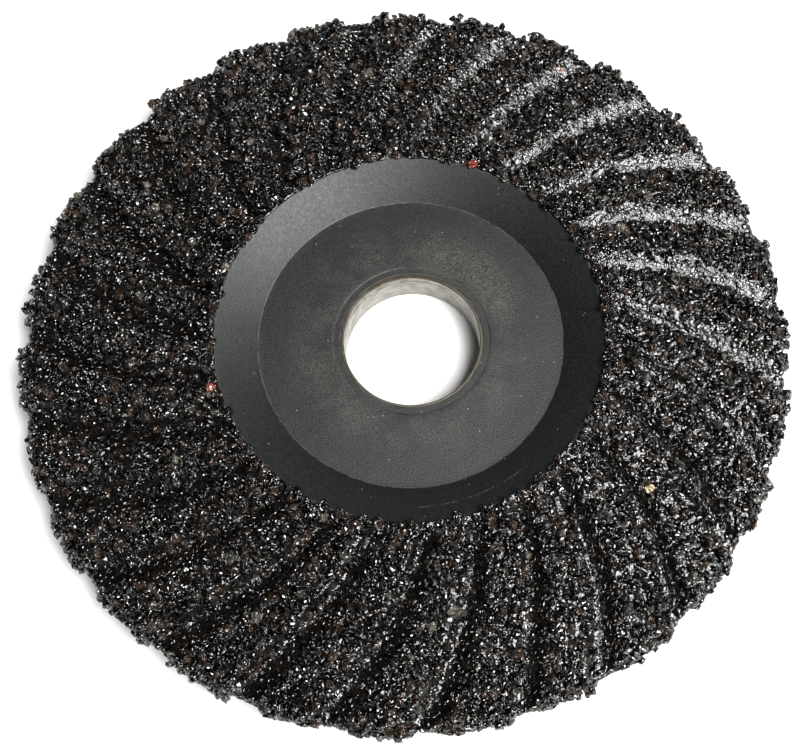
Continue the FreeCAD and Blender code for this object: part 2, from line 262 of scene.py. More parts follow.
class FinishSheet:
    """A material's nodes while a finish fills them in."""

    def __init__(self, name: str) -> None:
        """Start a material with its surface shader.

        Args:
            name: name of the material.
        """
        self.material = bpy.data.materials.new(name)
        self.material.use_nodes = True
        self.tree = self.material.node_tree
        self.surface = self.tree.nodes["Principled BSDF"]
        self.places = self.tree.nodes.new("ShaderNodeTexCoord").outputs["Object"]

    def set_surface(self, **values: float) -> None:
        """Set numbers of the surface shader that are the same all over, by socket name."""
        for name, value in values.items():
            self.surface.inputs[name.replace("_", " ")].default_value = value

    def _feed(self, socket: Socket, value: object) -> None:
        """Link a socket into another, or set it where the value is a number or a colour.

        Args:
            socket: the socket to feed.
            value: the socket, number, colour or vector that feeds it.
        """
        if isinstance(value, Socket):
            self.tree.links.new(value, socket)
        elif isinstance(value, tuple) and socket.type == "RGBA":
            socket.default_value = (*value, 1.0)
        else:
            socket.default_value = value

    def colour_from(self, value: object) -> None:
        """Take the surface's colour from a socket."""
        self._feed(self.surface.inputs["Base Color"], value)

    def roughness_from(self, value: object) -> None:
        """Take the surface's roughness from a socket."""
        self._feed(self.surface.inputs["Roughness"], value)

    def node(self, kind: str, *inputs: object, **settings: object) -> bpy.types.Node:
        """Add a node.

        Args:
            kind: the node's type, without the ShaderNode in front.
            inputs: sockets or values for its inputs in order, None to leave one alone.
            settings: the node's own settings, by name.

        Returns:
            The node.
        """
        node = self.tree.nodes.new("ShaderNode" + kind)
        for name, value in settings.items():
            setattr(node, name, value)
        for socket, value in zip(node.inputs, inputs):
            if value is not None:
                self._feed(socket, value)
        return node

    def math(self, operation: str, *values: object) -> Socket:
        """Return the result of a math operation on sockets or numbers."""
        return self.node("Math", *values, operation=operation).outputs[0]

    def times(self, first: object, second: object) -> Socket:
        """Return the product of two sockets or numbers."""
        return self.math("MULTIPLY", first, second)

    def plus(self, first: object, second: object) -> Socket:
        """Return the sum of two sockets or numbers."""
        return self.math("ADD", first, second)

    def spread(
        self, value: object, low: float, high: float, to_low: float, to_high: float
    ) -> Socket:
        """Return a value eased from the span low to high onto to_low to to_high, held at the ends."""
        numbers = (value, low, high, to_low, to_high)
        return self.node("MapRange", *numbers, interpolation_type="SMOOTHSTEP").outputs[0]

    def noise(self, size: float, detail: float = 3.0, rough: float = 0.55) -> Socket:
        """Return noise from 0 to 1, by bump size in millimetres, finer layers and their strength."""
        values = (self.places, None, 1.0 / (size * MM), detail, rough)
        return self.node("TexNoise", *values).outputs["Fac"]

    def cells(self, size: float, feature: str = "F1") -> bpy.types.Node:
        """Return a cell pattern's node, by cell size in millimetres and the distance it gives."""
        return self.node("TexVoronoi", self.places, None, 1.0 / (size * MM), feature=feature)

    def facets(self, size: float, tilt: float) -> Socket:
        """Return a height, in millimetres, that slopes evenly one random way in each cell.

        In a cell the height is the dot product of the cell's random vector with the place
        measured from the cell's middle, so a bump of it shows flat facets that meet at edges.

        Args:
            size: size of a cell, in millimetres.
            tilt: slope of the steepest facets.

        Returns:
            The socket of the height.
        """
        cells = self.cells(size)
        offset = self.node("VectorMath", self.places, cells.outputs["Position"], operation="SUBTRACT")
        lean = self.node("VectorMath", cells.outputs["Color"], (0.5, 0.5, 0.5), operation="SUBTRACT")
        slope = self.node("VectorMath", offset.outputs[0], lean.outputs[0], operation="DOT_PRODUCT")
        return self.times(slope.outputs["Value"], 2.0 * tilt / MM)

    def worn_joints(self, size: float, bevel: float) -> Socket:
        """Return a height, in millimetres, that sinks toward the joints of a cell pattern.

        The height is the bevel's width where the distance to the nearest joint is larger than
        that, and the distance itself nearer by, rounded over by a smooth step.

        Args:
            size: size of a cell, in millimetres.
            bevel: width of the sunk border, in millimetres.

        Returns:
            The socket of the height.
        """
        cells = self.cells(size, "DISTANCE_TO_EDGE")
        return self.spread(cells.outputs["Distance"], 0.0, bevel / size, 0.0, bevel)

    def mix(self, factor: object, first: object, second: object, blend: str = "MIX") -> Socket:
        """Return a blend of two colours.

        Args:
            factor: the second colour's share.
            first: the first colour.
            second: the second colour.
            blend: how the second goes over the first.

        Returns:
            The socket of the blend.
        """
        values = (factor, *[None] * 5, first, second)
        settings = {"data_type": "RGBA", "blend_type": blend, "clamp_factor": True}
        return self.node("Mix", *values, **settings).outputs[2]

    def axes(self) -> list[Socket]:
        """Return the object's x, y and z, in millimetres."""
        scaled = self.node("VectorMath", self.places, (1.0 / MM,) * 3, operation="MULTIPLY")
        return list(self.node("SeparateXYZ", scaled.outputs[0]).outputs)

    def weave(self, pitch: float) -> Socket:
        """Return the height of a plain weave, from 0 to 1.

        It is the size of a sine along x times a sine along y, both of the same pitch.

        Args:
            pitch: distance between two yarns, in millimetres.

        Returns:
            The socket of the height.
        """
        across, along, _ = self.axes()
        rate = math.pi / pitch
        warp = self.math("SINE", self.times(across, rate))
        weft = self.math("SINE", self.times(along, rate))
        return self.math("ABSOLUTE", self.times(warp, weft))

    def radius_and_angle(self) -> tuple[Socket, Socket]:
        """Return the place about the bore.

        Returns:
            The sockets of the radius, in millimetres, and of the angle, from 0 to 360 degrees.
        """
        across, along, _ = self.axes()
        squares = self.plus(self.math("POWER", across, 2.0), self.math("POWER", along, 2.0))
        angle = self.math("DEGREES", self.math("ARCTAN2", along, across))
        return self.math("SQRT", squares), self.math("FLOORED_MODULO", angle, 360.0)

    def window(self, value: object, start: float, end: float, soft: float) -> Socket:
        """Return 1 between start and end and 0 outside, with soft sides.

        Args:
            value: the socket to test.
            start: start of the window.
            end: end of the window.
            soft: width of each soft side.

        Returns:
            The socket of the result.
        """
        rise = self.spread(value, start - soft, start + soft, 0.0, 1.0)
        fall = self.spread(value, end - soft, end + soft, 1.0, 0.0)
        return self.times(rise, fall)

    def bump(self, height: object, depth: float, strength: object, under: object = None) -> Socket:
        """Add relief, and make it the surface's.

        Args:
            height: the height's socket.
            depth: depth of the relief for a height of 1, in millimetres.
            strength: share of the relief that shows.
            under: relief that lies under this one.

        Returns:
            The relief's socket.
        """
        node = self.node("Bump")
        inputs = {"Distance": depth * MM, "Strength": strength, "Height": height, "Normal": under}
        for name, value in inputs.items():
            if value is not None:
                self._feed(node.inputs[name], value)
        self._feed(self.surface.inputs["Normal"], node.outputs[0])
        return node.outputs[0]


@dataclass(frozen=True)
class Finish:
    """A material's name, with the nodes that each kind of finish fills in."""

    name: str

    def make(self) -> Material:
        """Make the material.

        Returns:
            The material, with its nodes filled in.
        """
        sheet = FinishSheet(self.name)
        self.fill(sheet)
        return sheet.material

    def fill(self, sheet: FinishSheet) -> None:
        """Fill in the nodes of the finish's sheet."""
        raise NotImplementedError


@dataclass(frozen=True)
class MouldedFinish(Finish):
    """Dark grey phenolic moulding: fine mottle, dust rubbed in round the hub, flecks, scuffs and
    painted edge highlights.
    """

    name: str = "phenolic_moulding"
    dark: Colour = (0.0006, 0.0012, 0.0012)
    pale: Colour = (0.0026, 0.0036, 0.0036)
    # dust colour, also used for the pale lines painted along the edges as highlights
    dust_and_highlight: Colour = (0.15, 0.14, 0.112)
    fleck: Colour = (0.42, 0.42, 0.40)
    powder: Colour = (0.0140, 0.0165, 0.0160)
    speck: Colour = (0.0006, 0.0008, 0.0009)
    dust_band: Span = (12.6, 19.0)
    dusty_angles: Span = (18.0, 72.0)
    scuff_radius: float = 28.4
    scuff_angles: Span = (265.0, 300.0)
    # radii of the edges that get pale lines as painted highlights
    painted_highlight_edges: Triple = (11.68, 12.84, 24.82)

    def fill(self, sheet: FinishSheet) -> None:
        """Fill in the nodes.

        Args:
            sheet: the sheet to fill in.
        """
        radius, angle = sheet.radius_and_angle()
        cloud = sheet.noise(9.0, 3.0)
        mottle = sheet.noise(0.55, 4.0, 0.65)
        body = sheet.mix(sheet.spread(cloud, 0.3, 0.7, 0.15, 0.85), self.dark, self.pale)
        shade = sheet.spread(mottle, 0.3, 0.7, 0.72, 1.28)
        body = sheet.mix(1.0, body, shade, "MULTIPLY")
        band = sheet.window(radius, *self.dust_band, 3.5)
        powder = sheet.spread(sheet.noise(0.24, 3.0, 0.75), 0.46, 0.72, 0.0, 1.0)
        body = sheet.mix(powder, body, self.powder)
        grains = sheet.spread(sheet.noise(0.2, 4.0, 0.75), 0.42, 0.66, 0.0, 0.6)
        patches = sheet.spread(sheet.noise(7.0, 3.0, 0.6), 0.40, 0.62, 0.06, 0.6)
        far_side = sheet.times(sheet.window(angle, *self.dusty_angles, 18.0), 0.8)
        patches = sheet.plus(patches, far_side)
        dusted = sheet.times(sheet.times(band, grains), patches)
        body = sheet.mix(dusted, body, self.dust_and_highlight)
        pits = sheet.spread(sheet.noise(0.3, 2.0, 0.6), 0.30, 0.44, 0.85, 0.0)
        body = sheet.mix(pits, body, self.speck)
        fleck_cells = sheet.cells(1.5)
        fleck_mask = sheet.spread(fleck_cells.outputs["Distance"], 0.04, 0.085, 0.55, 0.0)
        split = sheet.node("SeparateColor", fleck_cells.outputs["Color"])
        chosen = sheet.spread(split.outputs[0], 0.4, 1.0, 0.0, 1.0)
        body = sheet.mix(sheet.times(fleck_mask, chosen), body, self.fleck)
        scuff = sheet.times(
            sheet.window(radius, self.scuff_radius - 0.09, self.scuff_radius + 0.09, 0.07),
            sheet.window(angle, *self.scuff_angles, 5.0),
        )
        broken = sheet.spread(sheet.noise(0.8, 3.0), 0.42, 0.6, 0.0, 0.35)
        body = sheet.mix(sheet.times(scuff, broken), body, self.dust_and_highlight)
        # pale lines in the dust colour along these edges: painted highlights, broken up by noise
        for edge in self.painted_highlight_edges:
            line = sheet.window(radius, edge - 0.05, edge + 0.05, 0.05)
            wear_and_highlight = sheet.spread(sheet.noise(1.7, 3.0), 0.36, 0.6, 0.0, 0.4)
            body = sheet.mix(sheet.times(line, wear_and_highlight), body, self.dust_and_highlight)
        sheet.colour_from(body)
        sheet.set_surface(IOR=1.54)
        sheet.roughness_from(sheet.spread(sheet.noise(0.6, 4.0, 0.7), 0.32, 0.68, 0.44, 0.54))
        fine = sheet.bump(sheet.noise(0.26, 3.0, 0.7), 0.07, 0.8)
        sheet.bump(sheet.noise(1.4, 2.0), 0.05, 0.35, fine)


@dataclass(frozen=True)
class SteelFinish(Finish):
    """Pressed steel of the bore ring: dull light grey, with rust brown stain down from the lip."""

    name: str = "stained_ring_steel"
    bright: Colour = (0.31, 0.305, 0.28)
    dull: Colour = (0.22, 0.215, 0.19)
    stain: Colour = (0.075, 0.045, 0.024)
    tan: Colour = (0.20, 0.155, 0.10)
    lip_tan: Colour = (0.095, 0.078, 0.056)
    stain_angles: Span = (52.0, 128.0)
    side_angles: Span = (150.0, 215.0)
    lip_height: float = 7.38
    seam_drops: Triple = (0.75, 1.3, 1.9)
    seam_angles: Span = (85.0, 215.0)

    def fill(self, sheet: FinishSheet) -> None:
        """Fill in the nodes.

        Args:
            sheet: the sheet to fill in.
        """
        _, angle = sheet.radius_and_angle()
        height = sheet.axes()[2]
        drop = sheet.math("SUBTRACT", self.lip_height, height)
        wear = sheet.noise(1.8, 4.0)
        body = sheet.mix(sheet.spread(wear, 0.2, 0.8, 0.1, 0.9), self.bright, self.dull)
        ragged = sheet.times(sheet.noise(1.1, 4.0, 0.65), 1.1)
        reach = sheet.spread(sheet.math("SUBTRACT", drop, ragged), -0.5, 0.35, 1.0, 0.0)
        far = sheet.window(angle, *self.stain_angles, 12.0)
        side = sheet.times(sheet.window(angle, *self.side_angles, 16.0), 0.7)
        stained = sheet.times(reach, sheet.math("MAXIMUM", far, side))
        body = sheet.mix(sheet.times(stained, 0.55), body, self.tan)
        core = sheet.spread(sheet.noise(0.7, 3.0), 0.4, 0.62, 0.0, 1.0)
        body = sheet.mix(sheet.times(stained, core), body, self.stain)
        lip = sheet.spread(drop, 0.14, 0.5, 0.8, 0.0)
        body = sheet.mix(lip, body, self.lip_tan)
        drift = sheet.times(sheet.noise(3.0, 3.0), 0.5)
        wavy = sheet.plus(sheet.math("SUBTRACT", drop, drift), 0.25)
        shown = sheet.window(angle, *self.seam_angles, 14.0)
        gaps = sheet.spread(sheet.noise(1.6, 3.0), 0.38, 0.56, 0.0, 0.9)
        for seam_drop in self.seam_drops:
            seam = sheet.window(wavy, seam_drop - 0.13, seam_drop + 0.13, 0.08)
            seam = sheet.times(seam, sheet.times(shown, gaps))
            body = sheet.mix(seam, body, self.stain)
        sheet.colour_from(body)
        sheet.set_surface(Metallic=0.8)
        dry = sheet.spread(wear, 0.3, 0.7, 0.38, 0.58)
        dry = sheet.plus(dry, sheet.times(lip, 0.25))
        sheet.roughness_from(sheet.plus(dry, sheet.times(stained, 0.3)))
        sheet.bump(sheet.noise(0.5, 4.0, 0.6), 0.02, 0.25)


@dataclass(frozen=True)
class ResinFinish(Finish):
    """Cured make coat: near black with a brown cast, wet-looking, pooled and pitted."""

    name: str = "black_resin"
    dark: Colour = (0.0012, 0.0010, 0.0009)
    brown: Colour = (0.0060, 0.0040, 0.0028)

    def fill(self, sheet: FinishSheet) -> None:
        """Fill in the nodes.

        Args:
            sheet: the sheet to fill in.
        """
        cloud = sheet.noise(1.3, 3.0)
        sheet.colour_from(sheet.mix(sheet.spread(cloud, 0.35, 0.7, 0.0, 1.0), self.dark, self.brown))
        sheet.roughness_from(sheet.spread(sheet.noise(0.9, 2.0), 0.3, 0.7, 0.08, 0.3))
        sheet.set_surface(IOR=1.58)
        pools = sheet.bump(sheet.noise(0.75, 2.0, 0.5), 0.35, 0.8)
        sheet.bump(sheet.noise(0.2, 2.0, 0.5), 0.05, 0.5, pools)


@dataclass(frozen=True)
class GritFinish(Finish):
    """Broken silicon carbide under a thin resin film.

    Each grain carries its own tint, darkened in the valleys as painted shade, and gloss, and the
    share of its broken relief that the film leaves bare.
    """

    name: str = "black_grit"

    def fill(self, sheet: FinishSheet) -> None:
        """Fill in the nodes.

        Args:
            sheet: the sheet to fill in.
        """
        own = sheet.node("Attribute", attribute_name=TINT)
        patch = sheet.spread(sheet.noise(0.5, 3.0), 0.3, 0.7, 0.55, 1.45)
        sheet.colour_from(sheet.mix(1.0, own.outputs["Color"], patch, "MULTIPLY"))
        film = sheet.spread(sheet.noise(0.6, 2.0), 0.3, 0.7, -0.05, 0.08)
        sheet.roughness_from(sheet.plus(own.outputs["Alpha"], film))
        sheet.set_surface(IOR=1.82)
        bare = sheet.node("Attribute", attribute_name=BARE).outputs["Fac"]
        facets = sheet.bump(sheet.facets(1.0, 0.34), 1.0, bare)
        wear_and_highlight = sheet.bump(sheet.worn_joints(1.0, 0.30), 1.0, bare, facets)
        sheet.bump(sheet.noise(0.9, 1.0, 0.4), 0.14, bare, wear_and_highlight)


@dataclass(frozen=True)
class ClothFinish(Finish):
    """Cured glass cloth: a plain weave of pale yarns in brown resin."""

    name: str = "glass_cloth_weave"
    yarn: Colour = (0.55, 0.53, 0.42)
    resin: Colour = (0.16, 0.11, 0.06)
    pitch: float = 1.6

    def fill(self, sheet: FinishSheet) -> None:
        """Fill in the nodes.

        Args:
            sheet: the sheet to fill in.
        """
        over = sheet.weave(self.pitch)
        fuzz = sheet.times(sheet.noise(0.3, 3.0), 0.3)
        body = sheet.mix(sheet.plus(over, fuzz), self.resin, self.yarn)
        sheet.colour_from(body)
        sheet.roughness_from(sheet.spread(over, 0.0, 1.0, 0.35, 0.6))
        sheet.bump(over, 0.12, 0.7)


@dataclass(frozen=True)
class BackFinish(Finish):
    """Back skin of the moulding: the same dark body with the cloth's print showing through."""

    name: str = "phenolic_back"
    dark: Colour = (0.024, 0.024, 0.025)
    pale: Colour = (0.048, 0.047, 0.045)
    pitch: float = 2.2
    printed: Span = (27.0, 70.0)

    def fill(self, sheet: FinishSheet) -> None:
        """Fill in the nodes.

        Args:
            sheet: the sheet to fill in.
        """
        radius, _ = sheet.radius_and_angle()
        over = sheet.weave(self.pitch)
        plate = sheet.window(radius, *self.printed, 3.0)
        cloud = sheet.noise(7.0, 4.0)
        body = sheet.mix(sheet.spread(cloud, 0.3, 0.7, 0.0, 1.0), self.dark, self.pale)
        shade = sheet.spread(sheet.noise(0.5, 4.0, 0.65), 0.3, 0.7, 0.7, 1.3)
        sheet.colour_from(sheet.mix(1.0, body, shade, "MULTIPLY"))
        sheet.roughness_from(sheet.spread(sheet.noise(2.0, 4.0), 0.3, 0.7, 0.42, 0.6))
        print_relief = sheet.bump(sheet.times(over, plate), 0.06, 0.6)
        sheet.bump(sheet.noise(0.2, 3.0, 0.7), 0.02, 0.6, print_relief)


@dataclass(frozen=True)
class FloorFinish(Finish):
    """Plain white table."""

    name: str = "white_table"
    shade: Colour = (0.92, 0.915, 0.90)

    def fill(self, sheet: FinishSheet) -> None:
        """Fill in the nodes.

        Args:
            sheet: the sheet to fill in.
        """
        tint = sheet.spread(sheet.noise(40.0, 2.0), 0.3, 0.7, 0.985, 1.0)
        sheet.colour_from(sheet.mix(1.0, self.shade, tint, "MULTIPLY"))
        sheet.set_surface(Roughness=0.7)


def dress(piece: Piece, finish: Material) -> None:
    """Give a piece one material."""
    piece.data.materials.clear()
    piece.data.materials.append(finish)


def stand_for(piece: Piece, finish: Material, slot: Slot, *nodes: str) -> None:
    """Finish a piece, hang it under the disc's body and hide the CAD nodes that it stands for.

    Args:
        piece: the piece.
        finish: its material.
        slot: not used.
        nodes: the CAD nodes that the piece takes the place of.
    """
    dress(piece, finish)
    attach(piece, BODY)
    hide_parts(*nodes)
    triangles = len(piece.data.loops) - 2 * len(piece.data.polygons)
    log.info("%s: %d triangles, stands for %s", piece.name, triangles, ", ".join(nodes))


def closed_piece(name: str, places: Array) -> Piece:
    """Return the piece whose rows of places close round the bore, the last row on the first."""
    quads = ring_quads(*places.shape[:2], True)
    return new_piece(name, places.reshape(-1, 3), [quads])


# ---------------------------------------------------------------------------------------------
# The disc's form
# ---------------------------------------------------------------------------------------------


@dataclass(frozen=True)
class DiscForm:
    """Sizes that the sub-assemblies share, in millimetres, and the ribbed face's shape."""

    bore_radius: float
    hub_front: float
    ring_front: float
    flange_radius: float
    plate_radius: float
    shoulder_height: float
    coat_front: float
    coat_hem: float
    rim_radius: float
    ring_wall: float = 0.45
    ring_gap: float = 0.03
    flange_thickness: float = 0.5
    relief_width: float = 1.25
    seat_radius: float = 24.8
    shoulder_radius: float = 31.2
    wall_bulge: float = 0.08
    face_fall: float = math.tan(math.radians(5.0))
    front_drop: float = 2.1
    back_skin_drop: float = 3.3
    plate_drop: float = 3.85
    back_seat_radius: float = 22.0
    boss_draft_run: float = 0.6
    rib_count: int = 27
    crest_angle_deg: float = 270.0
    crest_angle_radius: float = 47.0
    swirl_deg_per_mm: float = -0.573
    groove_depth: float = 1.75
    groove_start: float = 31.5
    groove_run_in: float = 2.6
    depth_scatter: float = 0.12
    depth_seed: int = 27
    phase_wander: float = 0.022
    crest_width: float = 0.03

    @classmethod
    def from_frame(cls) -> "DiscForm":
        """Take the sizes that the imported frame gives.

        Returns:
            The form with those sizes.
        """
        mounts = {mount["name"]: mount for mount in frame["record"]["mounts"]}
        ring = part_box("bore_ring")[1] / MM
        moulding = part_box("front_moulding")[1] / MM
        coat_low, coat_high = (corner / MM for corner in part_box("bond_coat"))
        return cls(
            bore_radius=mounts["bore"]["dims"]["r_mm"],
            hub_front=mounts["front_seat"]["pos_m"][2] / MM,
            ring_front=ring.z,
            flange_radius=ring.x,
            plate_radius=moulding.x,
            shoulder_height=moulding.z,
            coat_front=coat_high.z,
            coat_hem=coat_low.z,
            rim_radius=coat_high.x,
        )

    @property
    def ring_radius(self) -> float:
        """Return the bore ring's outer radius."""
        return self.bore_radius + self.ring_wall

    @property
    def layer_bore(self) -> float:
        """Return the radius at which the mouldings start, just clear of the ring."""
        return self.ring_radius + self.ring_gap

    @property
    def coat_thickness(self) -> float:
        """Return the resin coat's thickness over the crests."""
        return self.coat_front - self.shoulder_height

    @property
    def pitch(self) -> float:
        """Return the angle between two ribs, in radians."""
        return TURN / self.rib_count

    def crest_height(self, radius: Array) -> Array:
        """Return the moulding's crest height, which falls evenly from the shoulder outward."""
        return self.shoulder_height - (radius - self.shoulder_radius) * self.face_fall

    def wall_height(self, radius: Array, drop: float = 0.0) -> Array:
        """Return the dished wall's height: a circle's arc from the seat's edge to the shoulder.

        The circle goes through both ends and stands wall_bulge in front of their chord.

        Args:
            radius: radii between the seat's edge and the shoulder.
            drop: how far the surface lies below the front.

        Returns:
            The height at each radius.
        """
        start = np.array([self.seat_radius, self.hub_front - drop])
        end = np.array([self.shoulder_radius, self.shoulder_height - drop])
        chord = np.linalg.norm(end - start)
        bend = (chord**2 / 4 + self.wall_bulge**2) / (2 * self.wall_bulge)
        along = (end - start) / chord
        across = np.array([-along[1], along[0]])
        centre = (start + end) / 2 - across * (bend - self.wall_bulge)
        return centre[1] + np.sqrt(bend**2 - (radius - centre[0]) ** 2)

    def rib_phase(self, radius: Array, angle: Array) -> Array:
        """Return the place across the ribs: whole numbers are crests, counted from rib one.

        The crest's angle turns evenly with radius, and wanders a little like hand-laid work.

        Args:
            radius: radii on the face.
            angle: angles, in radians.

        Returns:
            The angle past rib one's crest, in rib pitches.
        """
        lead = self.crest_angle_deg + self.swirl_deg_per_mm * (radius - self.crest_angle_radius)
        phase = (angle - np.radians(lead)) / self.pitch
        wander = wave_field(polar_places(radius, angle, 0.0), 9.0, seed=71)
        return phase + self.phase_wander * wander

    def groove(self, radius: Array, angle: Array) -> Array:
        """Return the groove's depth below the crests.

        Across a pitch the surface drops steeply over the crest line to a narrow floor, climbs a
        ramp and eases up a plateau to the next crest. The depth fades in past the shoulder, and
        each rib is a little deeper or shallower than the next.

        Args:
            radius: radii on the face.
            angle: angles, in radians.

        Returns:
            The depth at each place.
        """
        phase = self.rib_phase(radius, angle)
        share = np.array([0.0, 0.02, 0.05, 0.08, 0.12, 0.20, 0.30, 0.38, 0.48, 0.68, 0.86, 0.94])
        depth = np.array([0.0, 0.12, 0.62, 0.93, 1.0, 0.94, 0.66, 0.36, 0.20, 0.09, 0.01, 0.0])
        across = np.interp(np.mod(phase + self.crest_width, 1.0), share, depth)
        lead_in = smooth_step(radius, self.groove_start, self.groove_start + self.groove_run_in)
        rng = np.random.default_rng(self.depth_seed)
        uneven = 1.0 + rng.uniform(-self.depth_scatter, self.depth_scatter, self.rib_count)
        rib = np.mod(np.floor(phase).astype(int), self.rib_count)
        return self.groove_depth * across * lead_in * uneven[rib]


# ---------------------------------------------------------------------------------------------
# Sub-assemblies
# ---------------------------------------------------------------------------------------------


@dataclass
class BoreSleeve:
    """The pressed steel ring in the bore, with a rolled lip, a seam line and a back flange."""

    form: DiscForm
    columns: int = 216
    lip_round: float = 0.26
    edge_round: float = 0.12
    seam_drop: float = 1.75
    seam_depth: float = 0.07
    seam_half: float = 0.1
    seam_round: float = 0.03
    mouth_round: float = 0.22
    wobble: float = 0.025

    def section(self) -> Array:
        """Work out the ring's section.

        Returns:
            The closed section, with a rolled lip, a shallow seam in the bore and the flange.
        """
        form = self.form
        top, inner, outer = form.ring_front, form.bore_radius, form.ring_radius
        seam = top - self.seam_drop
        return rounded_section([
            Corner(inner, top, self.lip_round, 0.2, 6),
            Corner(outer, top, self.edge_round, 0.6, 4),
            Corner(outer, form.flange_thickness, 0.1, 0.8),
            Corner(form.flange_radius, form.flange_thickness, self.edge_round, 0.3),
            Corner(form.flange_radius, 0.0, self.edge_round, 0.8),
            Corner(inner, 0.0, self.mouth_round, 0.5, 5),
            Corner(inner, seam - self.seam_half, self.seam_round, 0.2, 3),
            Corner(inner + self.seam_depth, seam, self.seam_round, 0.2, 3),
            Corner(inner, seam + self.seam_half, self.seam_round, 0.3, 3),
        ])

    def build(self, steel: Material) -> None:
        """Turn the section about the bore, with the slight waviness of thin pressed steel.

        The radius of each place gains a smooth random wobble, which fades to nothing on the
        outer wall, where the ring is held.

        Args:
            steel: the ring's material.
        """
        section = self.section()
        angle = once_round(self.columns)
        radius = section[:, :1]
        height = section[:, 1:]
        places = polar_places(radius, angle, height)
        wave = wave_field(places, 4.0, seed=11) * self.wobble
        free = 1.0 - smooth_step(radius, self.form.bore_radius + 0.1, self.form.ring_radius)
        places = polar_places(radius + np.maximum(wave, -0.01) * free, angle, height)
        stand_for(closed_piece("bore_sleeve", places), steel, Slot.RING_STEEL, "bore_ring")


@dataclass
class DishedFace:
    """The front moulding: the nut's seat, the dished wall round it and the ribs."""

    form: DiscForm
    columns: int = 648
    wall_rows: int = 22
    face_spacing: float = 1.6
    foot_run: float = 0.5
    waviness: float = 0.012

    def front_places(self) -> Array:
        """Work out the front of the section: relief, seat and dished wall.

        Returns:
            The places from the bore out to the shoulder.
        """
        form = self.form
        relief = form.ring_radius + form.relief_width
        seat, front = form.seat_radius, form.hub_front
        foot = seat + self.foot_run
        hub = rounded_section([
            Corner(form.layer_bore, form.ring_front, 0.05, 0.3, 3),
            Corner(relief, form.ring_front, 0.05, 0.1, 4),
            Corner(relief + 0.04, front, 0.045, 0.9, 5),
            Corner(seat, front, 0.06, 0.1, 4),
            Corner(foot, form.wall_height(np.array(foot)).item(), 0.0, NO_STOPS),
            Corner(foot, form.ring_front - 1.0, 0.0, NO_STOPS),
            Corner(form.layer_bore, form.ring_front - 1.0, 0.0, NO_STOPS),
        ])[:-2]
        wall_radius = np.linspace(foot, form.shoulder_radius, self.wall_rows)[1:]
        wall = np.stack([wall_radius, form.wall_height(wall_radius)], axis=-1)
        return np.concatenate([hub, wall])

    def section(self) -> tuple[Array, Array]:
        """Work out the whole section.

        Returns:
            The closed section, and how much of the groove's depth each place takes.
        """
        form = self.form
        front = self.front_places()
        rim = form.plate_radius
        face_radius = np.arange(form.shoulder_radius + 0.4, rim - 0.2, self.face_spacing)
        face_radius = np.append(face_radius, [rim - 0.25, rim])
        face = np.stack([face_radius, form.crest_height(face_radius)], axis=-1)
        low_rim = form.crest_height(rim) - form.front_drop
        down = np.stack([np.full(3, rim), low_rim + np.array([0.45, 0.2, 0.0])], axis=-1)
        back_radius = np.linspace(rim, form.shoulder_radius, 12)[1:]
        back_face = np.stack([back_radius, form.crest_height(back_radius) - form.front_drop], -1)
        wall_radius = np.linspace(form.shoulder_radius, form.seat_radius, 10)[1:]
        wall = np.stack([wall_radius, form.wall_height(wall_radius, form.front_drop)], axis=-1)
        hub_back = form.hub_front - form.front_drop
        hub_radius = np.linspace(form.seat_radius, form.layer_bore, 8)[1:]
        hub = np.stack([hub_radius, np.full(7, hub_back)], axis=-1)
        bore = np.array([[form.layer_bore, hub_back + 0.9]])
        groups = [front, face, down, back_face, wall, hub, bore]
        weights = [0.0, 1.0, 0.0, 0.0, 0.0, 0.0, 0.0]
        share = np.concatenate([np.full(len(g), w) for g, w in zip(groups, weights)])
        return np.concatenate(groups), share

    def build(self, moulded: Material) -> None:
        """Turn the section and press the ribs into it.

        Each place's height is the section's height, less the groove's depth where the ribs are,
        plus a slight waviness as a moulded face has.

        Args:
            moulded: the moulding's material.
        """
        section, ribbed = self.section()
        angle = once_round(self.columns)
        radius, height = section[:, :1], section[:, 1:]
        depth = self.form.groove(radius, angle) * ribbed[:, None]
        flat = polar_places(radius, angle, height)
        wave = wave_field(flat, 6.0, seed=21) * self.waviness
        wave *= smooth_step(radius, self.form.ring_radius + 1.5, self.form.ring_radius + 4.0)
        places = polar_places(radius, angle, height - depth + wave * (height > 7.0))
        stand_for(closed_piece("dished_face", places), moulded, Slot.PHENOLIC, "front_moulding")


